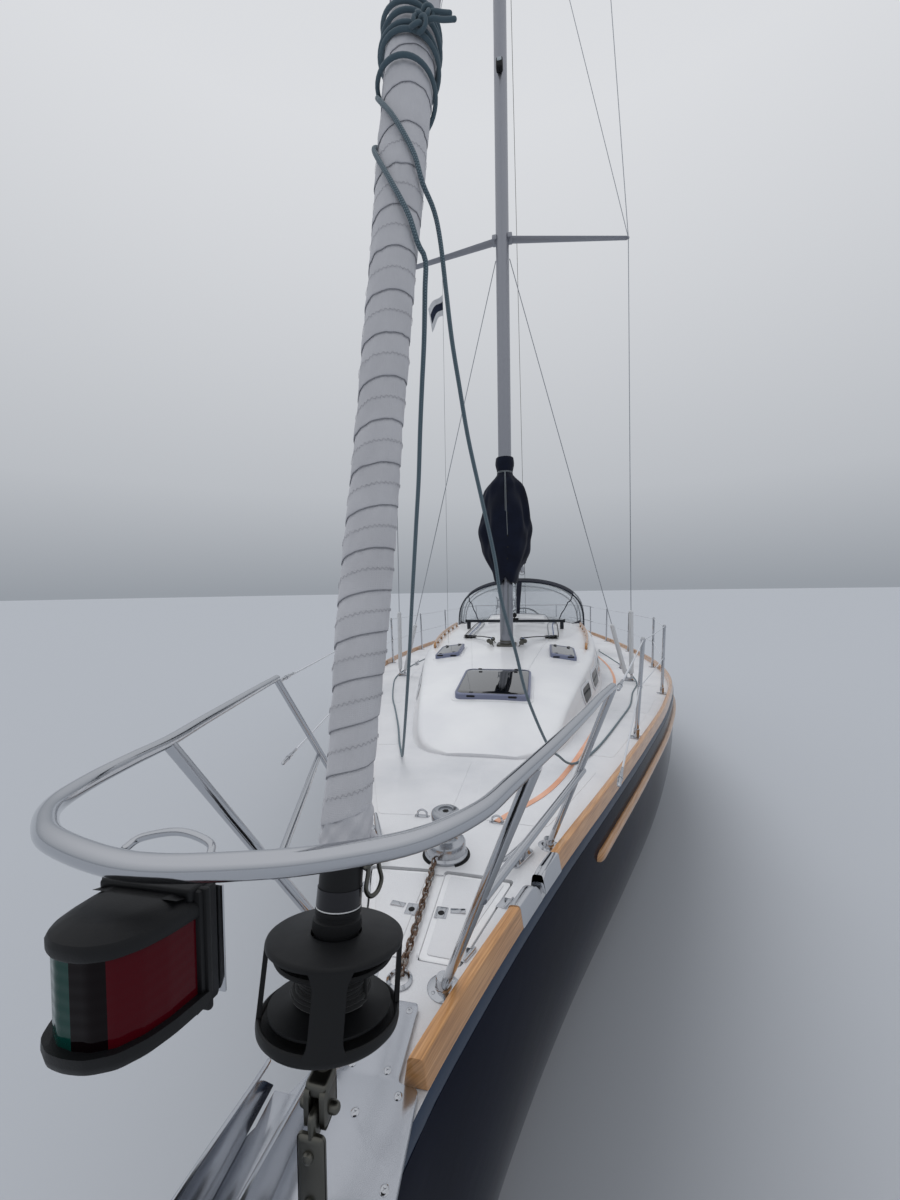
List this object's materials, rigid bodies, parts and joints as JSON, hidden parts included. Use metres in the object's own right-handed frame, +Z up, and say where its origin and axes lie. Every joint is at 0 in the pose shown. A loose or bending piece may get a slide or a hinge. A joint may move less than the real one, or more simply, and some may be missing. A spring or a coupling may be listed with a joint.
{
  "type": "sailing yacht",
  "caption": "Cruising sloop afloat: dark hull, light deck and coachroof, teak toe rails, bow rail, furled headsail, covered mainsail, sprayhood, fin keel and spade rudder.",
  "frame": {"origin": "on the centreline, at mid-length, in the plane of the water the yacht floats in", "axes": "-Y towards the bow, +X to port, +Z up the mast"},
  "size_m": [3.6858, 11.102, 17.87],
  "materials": {
    "topsides": "glossy dark navy gelcoat topsides",
    "deck_nonskid": "light grey non-skid deck moulding",
    "gelcoat_white": "white gelcoat moulding",
    "teak": "varnished teak",
    "stainless": "polished stainless steel",
    "alloy": "anodised aluminium spar",
    "sailcloth": "white woven sailcloth with stitched seams",
    "navy_canvas": "navy acrylic canvas",
    "black_plastic": "black moulded plastic",
    "smoked_lens": "smoked acrylic lens in an alloy frame",
    "rope": "braided blue-green rope",
    "cast_iron": "antifouled cast iron",
    "bronze": "manganese bronze",
    "engine_paint": "grey painted engine block"
  },
  "bodies": {
    "root": {"hull": "topsides", "deck": "deck_nonskid", "coachroof": "gelcoat_white", "cockpit": "gelcoat_white", "keel": "cast_iron", "shaft_strut": "bronze", "engine": "engine_paint", "toe_rail_port": "teak", "toe_rail_starboard": "teak", "rub_strake_port": "teak", "rub_strake_starboard": "teak", "stem_fitting": "stainless", "seahood": "gelcoat_white", "washboard": "teak", "pulpit": "stainless", "bow_light": "black_plastic", "pushpit": "stainless", "lifelines_port": "stainless", "lifelines_starboard": "stainless", "mast": "alloy", "mast_cover": "navy_canvas", "forestay": "stainless", "furler_guard": "black_plastic", "backstay": "stainless", "shrouds_port": "stainless", "shrouds_starboard": "stainless", "sprayhood": "navy_canvas", "sprayhood_frame": "stainless", "pedestal": "gelcoat_white", "traveller": "black_plastic", "mainsheet": "rope", "handrail_port": "teak", "handrail_starboard": "teak", "bow_cleat_port": "stainless", "bow_cleat_starboard": "stainless", "jib_sheet_port": "rope", "jib_sheet_starboard": "rope"},
    "rudder": {"rudder": "topsides"},
    "propeller": {"propeller": "bronze"},
    "wheel": {"steering_wheel": "stainless"},
    "boom": {"boom": "alloy", "vang": "alloy", "sail_cover": "navy_canvas"},
    "furler": {"furler_drum": "black_plastic", "furled_sail": "sailcloth", "sheet_turns": "rope"},
    "forward_hatch_lid": {"forward_hatch": "smoked_lens"},
    "port_hatch_lid": {"port_hatch": "smoked_lens"},
    "starboard_hatch_lid": {"starboard_hatch": "smoked_lens"},
    "port_locker_lid": {"anchor_locker_lid_port": "deck_nonskid"},
    "starboard_locker_lid": {"anchor_locker_lid_starboard": "deck_nonskid"},
    "companionway_hatch": {"companionway_slide": "gelcoat_white"},
    "port_seat_lid": {"seat_lid_port": "gelcoat_white"},
    "starboard_seat_lid": {"seat_lid_starboard": "gelcoat_white"},
    "port_winch": {"winch_port": "stainless"},
    "starboard_winch": {"winch_starboard": "stainless"},
    "windlass": {"windlass": "stainless"}
  },
  "joints": [
    {"name": "rudder_turn", "type": "hinge", "parent": "root", "child": "rudder", "pos_m": [0, 4.23, -0.1], "axis": [0, 0, 1], "range_deg": [-35, 35]},
    {"name": "wheel_turn", "type": "hinge", "parent": "root", "child": "wheel", "pos_m": [0, 3.48, 1.395], "axis": [0, -1, 0], "range_deg": [-280, 280]},
    {"name": "propeller_spin", "type": "hinge", "parent": "root", "child": "propeller", "pos_m": [0, 2.95, -0.68], "axis": [0, 0.9889, -0.1483], "continuous": true},
    {"name": "furler_turn", "type": "hinge", "parent": "root", "child": "furler", "pos_m": [0, -5.33, 1.4], "axis": [0, 0.2684, 0.9633], "continuous": true},
    {"name": "boom_swing", "type": "hinge", "parent": "root", "child": "boom", "pos_m": [0, -1.308, 2.56], "axis": [0, 0, 1], "range_deg": [-60, 60]},
    {"name": "forward_hatch_open", "type": "hinge", "parent": "root", "child": "forward_hatch_lid", "pos_m": [0, -2.955, 1.495], "axis": [1, 0, 0], "range_deg": [0, 100]},
    {"name": "port_hatch_open", "type": "hinge", "parent": "root", "child": "port_hatch_lid", "pos_m": [0.517, -1.868, 1.6], "axis": [1, 0, 0], "range_deg": [0, 95]},
    {"name": "starboard_hatch_open", "type": "hinge", "parent": "root", "child": "starboard_hatch_lid", "pos_m": [-0.517, -1.868, 1.6], "axis": [1, 0, 0], "range_deg": [0, 95]},
    {"name": "port_locker_open", "type": "hinge", "parent": "root", "child": "port_locker_lid", "pos_m": [0.122, -4.872, 1.309], "axis": [0.2983, 0.9545, 0], "range_deg": [0, 90]},
    {"name": "starboard_locker_open", "type": "hinge", "parent": "root", "child": "starboard_locker_lid", "pos_m": [-0.122, -4.872, 1.309], "axis": [0.2983, -0.9545, 0], "range_deg": [0, 90]},
    {"name": "companionway_slide_open", "type": "slide", "parent": "root", "child": "companionway_hatch", "axis": [0, -0.9998, -0.0175], "range_m": [0, 0.56]},
    {"name": "port_seat_open", "type": "hinge", "parent": "root", "child": "port_seat_lid", "pos_m": [0.875, 2.475, 0.952], "axis": [0, 1, 0], "range_deg": [0, 80]},
    {"name": "starboard_seat_open", "type": "hinge", "parent": "root", "child": "starboard_seat_lid", "pos_m": [-0.875, 2.475, 0.952], "axis": [0, -1, 0], "range_deg": [0, 80]},
    {"name": "port_winch_turn", "type": "hinge", "parent": "root", "child": "port_winch", "pos_m": [1.046, 2.65, 1.451], "axis": [0, 0, 1], "continuous": true},
    {"name": "starboard_winch_turn", "type": "hinge", "parent": "root", "child": "starboard_winch", "pos_m": [-1.046, 2.65, 1.451], "axis": [0, 0, 1], "continuous": true},
    {"name": "windlass_turn", "type": "hinge", "parent": "root", "child": "windlass", "pos_m": [0, -4.43, 1.33], "axis": [0, 0, 1], "continuous": true}
  ],
  "couplings": [
    {"joint": "wheel_turn", "follows": "rudder_turn", "ratio": 8}
  ]
}
